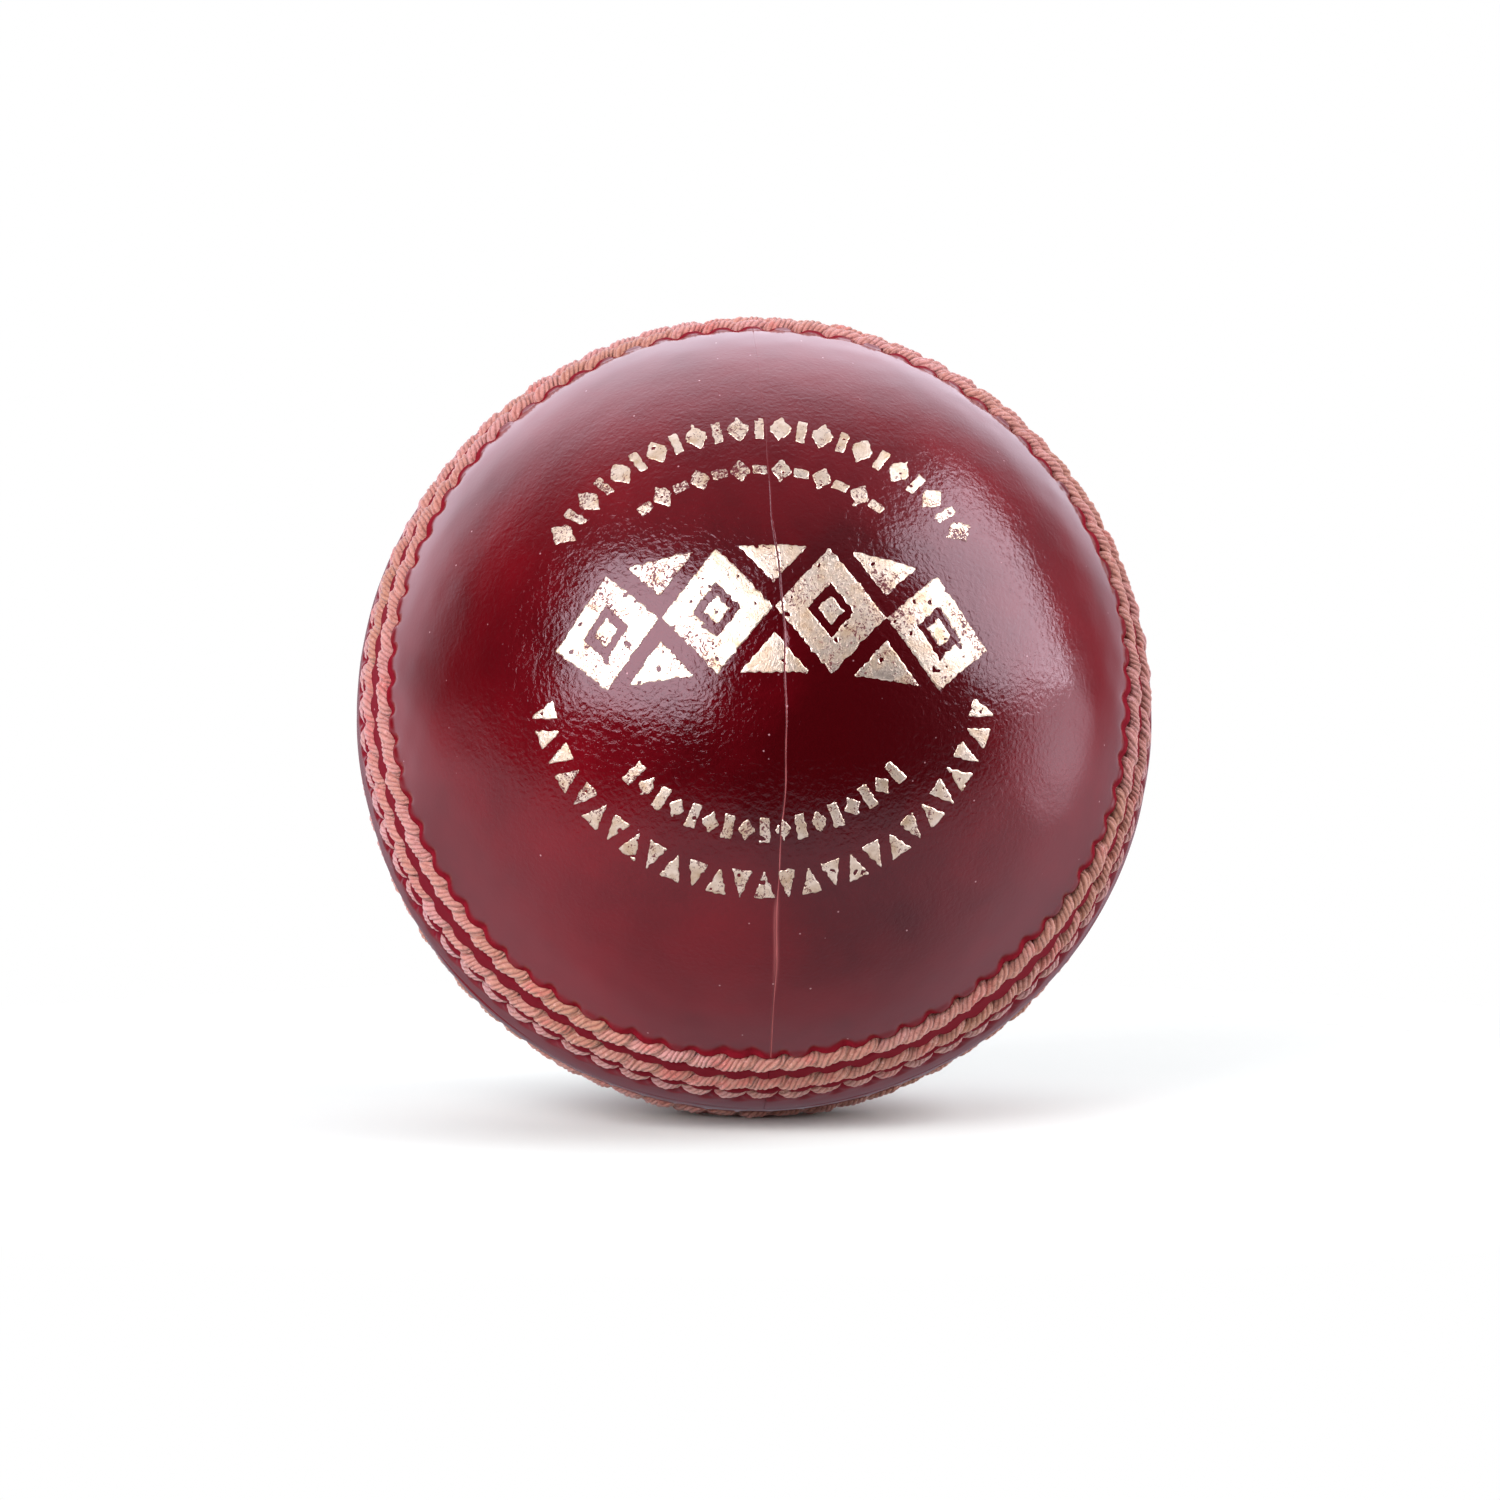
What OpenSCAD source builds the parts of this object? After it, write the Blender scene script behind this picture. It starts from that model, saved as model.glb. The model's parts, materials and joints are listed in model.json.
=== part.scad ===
// Cricket ball: four leather quarters sewn over a quilted cork and wool centre.
// Millimetres. +Z up, centre of the ball at the origin. The axis through the two
// cups leans back by `lean`, so the front cup faces -Y and a little upward.

/* [Ball] */
// Diameter over the plain leather
leather_d = 71.6; // [66:0.1:76]
// Thickness of the leather cover
leather_t = 3.6; // [2.5:0.1:4.5]
// Lean of the axis of the cups above the horizontal, in degrees
lean = 15.5; // [0:0.5:30]

/* [Seam band] */
// Rise of the leather at the joint of the two cups
seam_rise = 0.6; // [0.1:0.05:0.8]
// Half angle of the raised band, seen from the centre of the ball
seam_half_angle = 22; // [20:0.5:26]
// Angle of the outer stitch rows from the joint
outer_row_angle = 18.1; // [17.5:0.1:20]
// Angle of the middle stitch rows from the joint
middle_row_angle = 11.6; // [11.4:0.1:13]
// Angle of the inner stitch rows from the joint
inner_row_angle = 7; // [6:0.1:7.2]
// Width of the channel each stitch row lies in
channel_w = 2.4; // [2.2:0.05:2.7]

/* [Stitches] */
// Stitches in each row, a multiple of four
stitches_per_row = 76; // [60:4:84]
// Thickness of one stitch
stitch_d = 1.0; // [0.8:0.05:1.1]
// Length of one stitch
stitch_len = 3.2; // [2.6:0.05:3.4]
// Slant of a stitch across its row, in degrees
stitch_slant = 26; // [24:1:32]
// Thickness of the thread that runs from stitch to stitch
run_d = 0.5; // [0.3:0.05:0.6]
// Height of the stitches over the plain leather
stitch_proud = 0.65; // [0.4:0.05:0.8]

/* [Joining thread] */
// Thickness of the thread legs that cross the joint
leg_d = 0.9; // [0.6:0.05:1]
// Length of each leg
leg_len = 8.4; // [6:0.1:9]
// Distance of the legs from the axis of the cups
leg_ring_r = 34.3; // [33.6:0.05:34.5]

/* [Quarter seams] */
// Thickness of the hidden quarter-seam thread
quarter_thread_d = 0.8; // [0.5:0.05:1]
// Length of each hidden stitch
quarter_stitch_len = 4; // [3:0.1:5]
// Angle between neighbouring hidden stitches
quarter_stitch_step = 4.5; // [4:0.5:8]
// Hidden stitches on each side of the pole
quarter_stitches_each_side = 13; // [8:1:14]
// Width of the lining strip behind a quarter seam
lining_w = 12; // [8:0.5:16]
// Thickness of the lining strip
lining_t = 0.55; // [0.3:0.05:0.8]
// Height over the joint at which lining and hidden stitches stop
quarter_seam_foot = 14; // [13.5:0.5:18]

/* [Centre] */
// Diameter of the cork and rubber core
core_d = 26; // [20:0.5:28]
// Outer diameter of the first wool winding
inner_winding_d = 34; // [31:0.5:36]
// Outer diameter of the first cork layer
inner_cork_d = 39; // [37:0.5:41]
// Outer diameter of the second wool winding
middle_winding_d = 47; // [43:0.5:48]
// Outer diameter of the second cork layer
outer_cork_d = 52; // [50:0.5:54]
// Gap between neighbouring cork slips
slip_gap = 0.5; // [0.2:0.1:1]

/* [Hidden] */
fit = 0.04;                  // clearance between parts that touch
over = 4;                    // how far a cutting shape runs past what it cuts
$fa = 3;
$fs = 0.25;

leather_r = leather_d / 2;
inner_r = leather_r - leather_t;
winding_r = inner_r - fit;
crest_r = leather_r + seam_rise;
stitch_ring_r = leather_r + stitch_proud - stitch_d / 2;
channel_floor_r = stitch_ring_r - stitch_d / 2 - fit;
row_angles = [outer_row_angle, middle_row_angle, inner_row_angle];

// The crest of the band is an arc about a point out on the joint plane. It meets
// the plain leather at seam_half_angle.
crest_x = (pow(crest_r, 2) - pow(leather_r, 2))
    / (2 * (crest_r - leather_r * cos(seam_half_angle)));
crest_arc_r = crest_r - crest_x;

// How a stitch swells from its tip to its middle: shares of half its length, each
// with a share of half its thickness.
stitch_profile = [[1, 0.4], [0.75, 0.8], [0.42, 1]];

leg_bore_d = leg_d + 2 * fit;

quarter_thread_room = 0.1;               // clearance under and over the hidden stitches
quarter_thread_r = inner_r + quarter_thread_room + quarter_thread_d / 2;
rebate_r = inner_r + quarter_thread_d + 3 * quarter_thread_room;
rebate_w = quarter_stitch_len + 6 * quarter_thread_room;

// ---- placing ----

// The cups are drawn about the Z axis with their joint on the XY plane.
module lean_back() rotate([90 - lean, 0, 0]) children();

// From the front cup to the back cup, whose quarter seam crosses the front one's.
module to_back_cup() rotate([180, 0, 0]) rotate([0, 0, 90]) children();

// ---- shells and slips of the centre ----

module shell(r_out, r_in) difference() {
    sphere(r = r_out);
    sphere(r = r_in);
}

// One of four cork slips that close round the ball, each a quarter of a shell.
module cork_slip(r_out, r_in, quadrant) intersection() {
    shell(r_out, r_in);
    rotate([0, 0, 90 * quadrant])
        translate([slip_gap / 2, slip_gap / 2, -r_out - over])
            cube([r_out + over, r_out + over, 2 * (r_out + over)]);
}

module inner_cork_slip(quadrant) color("peru") lean_back()
    cork_slip(inner_cork_d / 2, inner_winding_d / 2 + fit, quadrant);

// The outer slips lie across the inner ones, so that no two joints line up.
module outer_cork_slip(quadrant) color("burlywood") lean_back() rotate([90, 0, 45])
    cork_slip(outer_cork_d / 2, middle_winding_d / 2 + fit, quadrant);

// ---- leather ----

// A slab along a quarter seam, from its foot on the joint side to past the pole.
module seam_slab(w, foot) translate([-w / 2, -leather_d / 2, foot])
    cube([w, leather_d, leather_d / 2]);

// Half section of a cup: plain leather, raised band, and a channel for each row.
module cup_section() difference() {
    intersection() {
        translate([0, fit / 2]) square([crest_r + over, crest_r + over]);
        union() {
            circle(r = leather_r);
            translate([crest_x, 0]) circle(r = crest_arc_r);
        }
    }
    circle(r = inner_r);
    for (a = row_angles)
        rotate(a) translate([channel_floor_r, -channel_w / 2]) square([over, channel_w]);
}

module leg_at(i, d, len) rotate([0, 0, (i + 0.5) * 360 / stitches_per_row])
    translate([leg_ring_r, 0, -len / 2]) cylinder(d = d, h = len);

// The quarter on the +X side, with a rebate inside for the hidden stitches and
// bores in its lip for the thread that crosses the joint.
module quarter() difference() {
    intersection() {
        rotate_extrude() cup_section();
        translate([fit / 2, -leather_d, -over])
            cube([leather_d, 2 * leather_d, leather_d]);
    }
    intersection() {
        sphere(r = rebate_r);
        seam_slab(rebate_w, quarter_seam_foot - fit);
    }
    for (i = [-stitches_per_row / 4 : stitches_per_row / 4 - 1])
        leg_at(i, leg_bore_d, leg_len + 2 * fit);
}

module front_right_quarter() color("darkred") lean_back() quarter();
module front_left_quarter() color("firebrick") lean_back() mirror([1, 0, 0]) quarter();
module back_upper_quarter() color("firebrick") lean_back() to_back_cup() mirror([1, 0, 0]) quarter();
module back_lower_quarter() color("darkred") lean_back() to_back_cup() quarter();

// ---- lining and hidden thread of the quarter seams ----

module lining(clearance) intersection() {
    shell(winding_r + clearance * over, winding_r - lining_t - clearance * fit);
    seam_slab(lining_w + 2 * clearance * fit, quarter_seam_foot - clearance * fit);
}

module front_lining_strip() color("tan") lean_back() lining(0);
module back_lining_strip() color("tan") lean_back() to_back_cup() lining(0);

module quarter_thread()
    for (i = [-quarter_stitches_each_side : quarter_stitches_each_side])
        rotate([i * quarter_stitch_step, 0, 0])
            translate([-quarter_stitch_len / 2, 0, quarter_thread_r])
                rotate([0, 90, 0]) cylinder(d = quarter_thread_d, h = quarter_stitch_len);

module front_quarter_thread() color("ivory") lean_back() quarter_thread();
module back_quarter_thread() color("ivory") lean_back() to_back_cup() quarter_thread();

// ---- wool ----

module core_ball() color("saddlebrown") lean_back() sphere(r = core_d / 2);

module inner_wool_winding() color("wheat") lean_back()
    shell(inner_winding_d / 2, core_d / 2 + fit);

module middle_wool_winding() color("wheat") lean_back()
    shell(middle_winding_d / 2, inner_cork_d / 2 + fit);

// The outer winding is pressed in where the lining strips lie over it.
module outer_wool_winding() color("wheat") lean_back() difference() {
    shell(winding_r, outer_cork_d / 2 + fit);
    lining(1);
    to_back_cup() lining(1);
}

// ---- seam stitches ----

// One stitch along Z: a barrel of thread with flat tips.
module stitch() {
    half = [for (p = stitch_profile) [p[1] * stitch_d / 2, p[0] * stitch_len / 2]];
    other_half = [for (i = [len(half) - 1 : -1 : 0]) [half[i].x, -half[i].y]];
    rotate_extrude() polygon(concat([[0, stitch_len / 2]], half, other_half, [[0, -stitch_len / 2]]));
}

// A row at angle a from the joint is one length of thread: a run along the channel,
// and a stitch over each step of it. On the front cup each stitch climbs toward the
// pole as it runs anticlockwise.
module stitch_row(a) {
    rotate_extrude() rotate(a) translate([stitch_ring_r, 0]) circle(d = run_d);
    for (i = [0 : stitches_per_row - 1])
        rotate([0, 0, i * 360 / stitches_per_row]) rotate([0, -a, 0])
            translate([stitch_ring_r, 0, 0]) rotate([stitch_slant - 90, 0, 0]) stitch();
}

module front_outer_stitch_row() color("lightsalmon") lean_back() stitch_row(outer_row_angle);
module front_middle_stitch_row() color("lightsalmon") lean_back() stitch_row(middle_row_angle);
module front_inner_stitch_row() color("lightsalmon") lean_back() stitch_row(inner_row_angle);
module back_inner_stitch_row() color("lightsalmon") lean_back() to_back_cup() stitch_row(inner_row_angle);
module back_middle_stitch_row() color("lightsalmon") lean_back() to_back_cup() stitch_row(middle_row_angle);
module back_outer_stitch_row() color("lightsalmon") lean_back() to_back_cup() stitch_row(outer_row_angle);

// The legs of the two inner rows, which tie the lips of the cups together.
module joining_thread() color("lightsalmon") lean_back()
    for (i = [0 : stitches_per_row - 1]) leg_at(i, leg_d, leg_len);

// ---- nodes ----

core_ball();
inner_wool_winding();
inner_cork_slip(0);  // inner_cork_slip_1
inner_cork_slip(1);  // inner_cork_slip_2
inner_cork_slip(2);  // inner_cork_slip_3
inner_cork_slip(3);  // inner_cork_slip_4
middle_wool_winding();
outer_cork_slip(0);  // outer_cork_slip_1
outer_cork_slip(1);  // outer_cork_slip_2
outer_cork_slip(2);  // outer_cork_slip_3
outer_cork_slip(3);  // outer_cork_slip_4
outer_wool_winding();
front_lining_strip();
back_lining_strip();
front_left_quarter();
front_right_quarter();
back_upper_quarter();
back_lower_quarter();
front_quarter_thread();
back_quarter_thread();
joining_thread();
front_outer_stitch_row();
front_middle_stitch_row();
front_inner_stitch_row();
back_inner_stitch_row();
back_middle_stitch_row();
back_outer_stitch_row();
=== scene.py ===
"""A cricket ball: lacquered leather quarters, six rows of twisted thread, worn gold foil."""

import json
import math

import bpy
import numpy as np
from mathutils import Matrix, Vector


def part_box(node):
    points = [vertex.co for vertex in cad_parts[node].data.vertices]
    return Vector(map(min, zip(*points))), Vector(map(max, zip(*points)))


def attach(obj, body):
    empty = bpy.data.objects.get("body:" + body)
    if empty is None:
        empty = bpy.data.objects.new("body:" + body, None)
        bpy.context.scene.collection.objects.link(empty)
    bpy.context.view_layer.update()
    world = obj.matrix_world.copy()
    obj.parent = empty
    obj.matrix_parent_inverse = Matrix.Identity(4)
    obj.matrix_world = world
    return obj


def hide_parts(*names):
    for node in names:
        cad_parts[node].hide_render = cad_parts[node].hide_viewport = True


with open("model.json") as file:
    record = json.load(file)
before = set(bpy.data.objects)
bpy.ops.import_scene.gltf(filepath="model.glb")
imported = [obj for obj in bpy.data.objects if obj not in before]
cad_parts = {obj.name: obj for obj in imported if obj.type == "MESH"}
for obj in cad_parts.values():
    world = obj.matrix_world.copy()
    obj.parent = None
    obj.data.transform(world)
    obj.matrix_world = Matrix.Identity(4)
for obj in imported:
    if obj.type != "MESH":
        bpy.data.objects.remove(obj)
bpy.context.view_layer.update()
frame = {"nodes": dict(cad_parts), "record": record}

MM = 0.001

# ---- driving dimensions, in millimetres and degrees, as in the CAD model ----

LEATHER_R = 35.8
LEATHER_T = 3.6
SEAM_RISE = 0.6
SEAM_HALF_ANGLE = 22.0
ROW_ANGLES = {"outer": 18.1, "middle": 11.6, "inner": 7.0}
STITCHES = 76
STEP = 360.0 / STITCHES
FIT = 0.02

# ---- the finer shape of each row, in millimetres ----

THREAD_R = {"outer": 0.72, "middle": 0.71, "inner": 0.60}
SEAT = {"outer": 0.00, "middle": 0.08, "inner": 0.12}
CHANNEL_DEPTH = {"outer": 0.60, "middle": 0.54, "inner": 0.40}
CHANNEL_HALF_W = {"outer": 0.86, "middle": 0.84, "inner": 0.68}

# ---- the ball's own axes ----

grip = next(m for m in frame["record"]["mounts"] if m["name"] == "grip")
POLE = np.array(grip["axis"]) / np.linalg.norm(grip["axis"])
SIDE = np.array([1.0, 0.0, 0.0])
FRONT = np.stack([SIDE, np.cross(POLE, SIDE), POLE])
QUARTER_TURN = np.array([[0, 1, 0], [-1, 0, 0], [0, 0, 1.0]])
TURN_OVER = np.diag([1.0, -1.0, -1.0])
CUPS = {"front": FRONT, "back": QUARTER_TURN @ TURN_OVER @ FRONT}
ROW_NUMBER = {row: i for i, row in enumerate(ROW_ANGLES)}
CUP_NUMBER = {cup: i for i, cup in enumerate(CUPS)}


def to_world(points, cup):
    """Points of a cup, in millimetres with the cup's pole along Z, as metres in the row frame."""
    return points @ CUPS[cup] * MM


# ---- small helpers ----


def unit(v):
    """Vectors scaled to length one."""
    return v / np.linalg.norm(v, axis=-1, keepdims=True)


def smooth(x):
    """A rise from nought to one as x does the same, level at both ends."""
    x = np.clip(x, 0, 1)
    return x * x * (3 - 2 * x)


def bell(x, width):
    """A bump of height one round x = 0."""
    return np.exp(-((x / width) ** 2))


def waves(points, shortest, longest, seed, count=36):
    """Smooth noise of about unit size, as a sum of plane waves, at points in millimetres."""
    rng = np.random.default_rng(seed)
    k = unit(rng.normal(size=(count, 3))) * (2 * np.pi / rng.uniform(shortest, longest, (count, 1)))
    return np.cos(points @ k.T + rng.uniform(0, 2 * np.pi, count)).sum(1) / math.sqrt(count / 2)


def direction(lon, lat):
    """Unit direction from degrees round a cup and degrees up from the joint."""
    lon, lat = np.radians(lon), np.radians(lat)
    return np.stack([np.cos(lat) * np.cos(lon), np.cos(lat) * np.sin(lon), np.sin(lat)], -1)


def height_and_turn(d):
    """Degrees up from the joint, and degrees round the cup, of unit directions."""
    return np.degrees(np.arcsin(np.clip(d[:, 2], -1, 1))), np.degrees(np.arctan2(d[:, 1], d[:, 0]))


def ring_noise(lon, lowest, highest, seed):
    """Smooth noise of about unit size round a ring, from harmonics lowest to highest."""
    rng = np.random.default_rng(seed)
    n = np.arange(lowest, highest + 1)
    phase = rng.uniform(0, 2 * np.pi, len(n))
    angle = np.radians(np.asarray(lon, float))[..., None]
    return np.cos(angle * n + phase).sum(-1) / math.sqrt(len(n) / 2)


def make_mesh(name, verts, faces, material, attributes=None, uv=None):
    """A smooth-shaded object from arrays. faces is an (n, 4) or (n, 3) array, or a list of such."""
    groups = faces if isinstance(faces, list) else [faces]
    groups = [np.asarray(f, np.int32) for f in groups if len(f)]
    loops = np.concatenate([f.ravel() for f in groups])
    sizes = np.concatenate([np.full(len(f), f.shape[1], np.int32) for f in groups])
    starts = np.concatenate([[0], np.cumsum(sizes)[:-1]]).astype(np.int32)
    mesh = bpy.data.meshes.new(name)
    mesh.vertices.add(len(verts))
    mesh.vertices.foreach_set("co", np.asarray(verts, np.float32).ravel())
    mesh.loops.add(len(loops))
    mesh.loops.foreach_set("vertex_index", loops)
    mesh.polygons.add(len(sizes))
    mesh.polygons.foreach_set("loop_start", starts)
    mesh.polygons.foreach_set("use_smooth", np.ones(len(sizes), bool))
    mesh.update(calc_edges=True)
    for key, values in (attributes or {}).items():
        layer = mesh.attributes.new(key, "FLOAT", "POINT")
        layer.data.foreach_set("value", np.asarray(values, np.float32))
    if uv is not None:
        layer = mesh.uv_layers.new(name="thread")
        layer.data.foreach_set("uv", np.asarray(uv, np.float32)[loops].ravel())
    mesh.materials.append(material)
    obj = bpy.data.objects.new(name, mesh)
    bpy.context.scene.collection.objects.link(obj)
    return obj


# ---- materials ----


class Nodes:
    """A short way to write a node tree."""

    def __init__(self, tree):
        self.tree = tree
        tree.nodes.clear()

    def add(self, kind, **values):
        node = self.tree.nodes.new(kind)
        for key, value in values.items():
            setattr(node, key, value)
        return node

    def link(self, a, b):
        self.tree.links.new(a, b)

    def socket(self, node, name, value):
        """Sets an input, or links it if value is an output socket."""
        if isinstance(value, bpy.types.NodeSocket):
            self.link(value, node.inputs[name])
        else:
            node.inputs[name].default_value = value

    def noise(self, coord, scale, detail=2.0, roughness=0.5, distortion=0.0):
        n = self.add("ShaderNodeTexNoise")
        self.link(coord, n.inputs["Vector"])
        n.inputs["Scale"].default_value = scale
        n.inputs["Detail"].default_value = detail
        n.inputs["Roughness"].default_value = roughness
        n.inputs["Distortion"].default_value = distortion
        return n.outputs["Fac"]

    def voronoi(self, coord, scale, feature="F1", smoothness=None):
        n = self.add("ShaderNodeTexVoronoi", feature=feature)
        self.link(coord, n.inputs["Vector"])
        n.inputs["Scale"].default_value = scale
        if smoothness is not None:
            n.inputs["Smoothness"].default_value = smoothness
        return n.outputs["Distance"]

    def ramp(self, value, *stops):
        """stops are (position, colour or grey)."""
        n = self.add("ShaderNodeValToRGB")
        self.link(value, n.inputs["Fac"])
        elements = n.color_ramp.elements
        while len(elements) < len(stops):
            elements.new(0.5)
        for element, (at, colour) in zip(elements, stops):
            element.position = at
            grey = not isinstance(colour, tuple)
            element.color = (colour, colour, colour, 1) if grey else (*colour, 1)
        return n.outputs["Color"]

    def math(self, operation, a, b=0.0):
        n = self.add("ShaderNodeMath", operation=operation)
        for i, value in enumerate((a, b)):
            self.socket(n, i, value)
        return n.outputs[0]

    def mix(self, factor, a, b):
        """The RGBA mix of colours a and b, each a colour or an output socket."""
        n = self.add("ShaderNodeMix", data_type="RGBA")
        self.socket(n, "Factor", factor)
        for i, value in ((6, a), (7, b)):
            self.socket(n, i, (*value, 1) if isinstance(value, tuple) else value)
        return n.outputs[2]

    def fade(self, value, low_end, high_end, bottom, top):
        """A smooth change from bottom to top as value goes from low_end to high_end."""
        n = self.add("ShaderNodeMapRange", interpolation_type="SMOOTHSTEP")
        self.link(value, n.inputs["Value"])
        ends = {"From Min": low_end, "From Max": high_end, "To Min": bottom, "To Max": top}
        for key, end in ends.items():
            n.inputs[key].default_value = end
        return n.outputs["Result"]

    def attribute(self, name):
        n = self.add("ShaderNodeAttribute")
        n.attribute_name = name
        return n.outputs["Fac"]

    def bump(self, height, distance):
        n = self.add("ShaderNodeBump")
        n.inputs["Distance"].default_value = distance
        self.link(height, n.inputs["Height"])
        return n.outputs["Normal"]


def new_material(name):
    """A material, its nodes, its shader and the object coordinates."""
    material = bpy.data.materials.new(name)
    material.use_nodes = True
    n = Nodes(material.node_tree)
    shader = n.add("ShaderNodeBsdfPrincipled")
    out = n.add("ShaderNodeOutputMaterial")
    n.link(shader.outputs[0], out.inputs["Surface"])
    coord = n.add("ShaderNodeTexCoord").outputs["Object"]
    return material, n, shader, coord


# Leather.
CHERRY = (0.134, 0.0010, 0.0040)
DEEP_CHERRY = (0.036, 0.0002, 0.0010)
RAW_RED = (0.185, 0.006, 0.014)
MAROON = (0.165, 0.010, 0.019)
# Painted shade for the holes where the thread goes in.
HOLE_SHADE_BROWN = (0.040, 0.004, 0.005)
# Pale pink: a painted highlight along the quarter seam, and scuffs.
GLINT_AND_SCUFF_PINK = (0.50, 0.16, 0.15)
DUST = (0.55, 0.30, 0.30)

# Thread.
SALMON = (0.64, 0.30, 0.24)
TAN = (0.54, 0.28, 0.17)
PINK = (0.67, 0.34, 0.31)
PALE_PINK = (0.60, 0.37, 0.38)
STAIN_RED = (0.66, 0.15, 0.13)
FIBRE_BROWN = (0.42, 0.14, 0.08)
# Painted shade between the strands.
VALLEY_SHADE_BROWN = (0.22, 0.050, 0.028)
FRAY_DARK = (0.24, 0.07, 0.04)
# Pale: painted glints on the fibres.
FIBRE_GLINT = (0.95, 0.62, 0.52)

# Foil, cork and paper.
FOIL_DULL = (0.62, 0.47, 0.29)
FOIL_BRIGHT = (0.93, 0.81, 0.62)
FOIL_WORN = (0.10, 0.006, 0.008)
PIT_BROWN = (0.03, 0.012, 0.005)
PAPER_DIM = (0.76, 0.85, 0.735)
PAPER_BRIGHT = (0.79, 0.88, 0.76)


def leather_material():
    """Dyed leather under clear lacquer: fine pebbled grain, faint blotches, bare in the grooves;
    painted shade round the middle of each cup and in the thread holes, painted light toward the rims,
    a painted highlight along the quarter seam.
    """
    material, n, shader, coord = new_material("cherry_leather")
    groove = n.attribute("groove")
    blotch = n.noise(coord, 90, 3, 0.6)
    # The blotches are the dye's own; the per-vertex tone adds painted shade and light: darker round
    # the middle of each cup and in a few soft patches, lighter toward the rims.
    shade = n.math("ADD", n.math("MULTIPLY", blotch, 0.6), n.attribute("dye_and_painted_shade"))
    colour = n.mix(n.ramp(shade, (0.35, 0.0), (0.85, 1.0)), DEEP_CHERRY, CHERRY)
    bare = n.attribute("bare")
    raw = n.attribute("raw")
    colour = n.mix(n.math("MULTIPLY", bare, 0.75), colour, MAROON)
    colour = n.mix(n.ramp(groove, (0.10, 0.0), (0.40, 1.0)), colour, MAROON)
    colour = n.mix(n.ramp(raw, (0.04, 0.0), (0.80, 1.0)), colour, RAW_RED)
    # Painted shade: dark brown in the holes where the thread goes in.
    colour = n.mix(n.ramp(groove, (0.70, 0.0), (1.0, 1.0)), colour, HOLE_SHADE_BROWN)
    # Pale pink along the quarter seam: a painted highlight on its hairline, and scuffs on the puckered
    # stretch.
    colour = n.mix(n.attribute("seam_glint_and_scuff"), colour, GLINT_AND_SCUFF_PINK)
    specks = n.voronoi(coord, 420)
    colour = n.mix(n.ramp(specks, (0.022, 0.7), (0.045, 0.0)), colour, DUST)
    n.link(colour, shader.inputs["Base Color"])
    pebble = n.voronoi(coord, 2300, "SMOOTH_F1", 0.7)
    crease = n.noise(coord, 1700, 3, 0.6, 0.9)
    grain = n.math("ADD", n.math("MULTIPLY", pebble, 0.4), crease)
    grain = n.math("MULTIPLY", grain, n.attribute("pebbled"))
    normal = n.bump(grain, 0.000046)
    n.link(normal, shader.inputs["Normal"])
    n.link(normal, shader.inputs["Coat Normal"])
    dull = n.math("MAXIMUM", groove, n.math("MULTIPLY", n.attribute("seam_glint_and_scuff"), 0.8))
    dull = n.math("MAXIMUM", dull, n.math("MULTIPLY", bare, 0.6))
    dull = n.math("MAXIMUM", dull, raw)
    n.link(n.ramp(dull, (0.0, 0.40), (0.5, 0.95)), shader.inputs["Roughness"])
    n.link(n.ramp(dull, (0.08, 0.80), (0.5, 0.04)), shader.inputs["Coat Weight"])
    shader.inputs["Coat Roughness"].default_value = 0.055
    shader.inputs["Coat IOR"].default_value = 1.46
    shader.inputs["Specular IOR Level"].default_value = 0.3
    shader.inputs["Specular Tint"].default_value = (1.0, 0.04, 0.07, 1)
    return material


def foil_material():
    """Worn metal foil pressed on leather: fine cracks and specks where the red shows through."""
    material, n, shader, coord = new_material("gold_foil")
    crack = n.noise(coord, 2400, 4, 0.75, 1.2)
    speck = n.noise(coord, 5200, 2, 0.7)
    patch = n.noise(coord, 150, 2, 0.5)
    lost = n.math("ADD", crack, n.math("MULTIPLY", n.math("SUBTRACT", patch, 0.5), 0.55))
    lost = n.math("ADD", lost, n.math("MULTIPLY", n.math("SUBTRACT", speck, 0.5), 0.35))
    worn = n.ramp(lost, (0.555, 0.0), (0.61, 1.0))
    tone = n.noise(coord, 700, 3, 0.6)
    gold = n.ramp(tone, (0.3, FOIL_DULL), (0.6, FOIL_BRIGHT))
    n.link(n.mix(worn, gold, FOIL_WORN), shader.inputs["Base Color"])
    n.link(n.math("SUBTRACT", 1.0, worn), shader.inputs["Metallic"])
    n.link(n.ramp(tone, (0.3, 0.48), (0.7, 0.32)), shader.inputs["Roughness"])
    normal = n.bump(n.math("ADD", crack, speck), 0.00003)
    n.link(normal, shader.inputs["Normal"])
    return material


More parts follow.
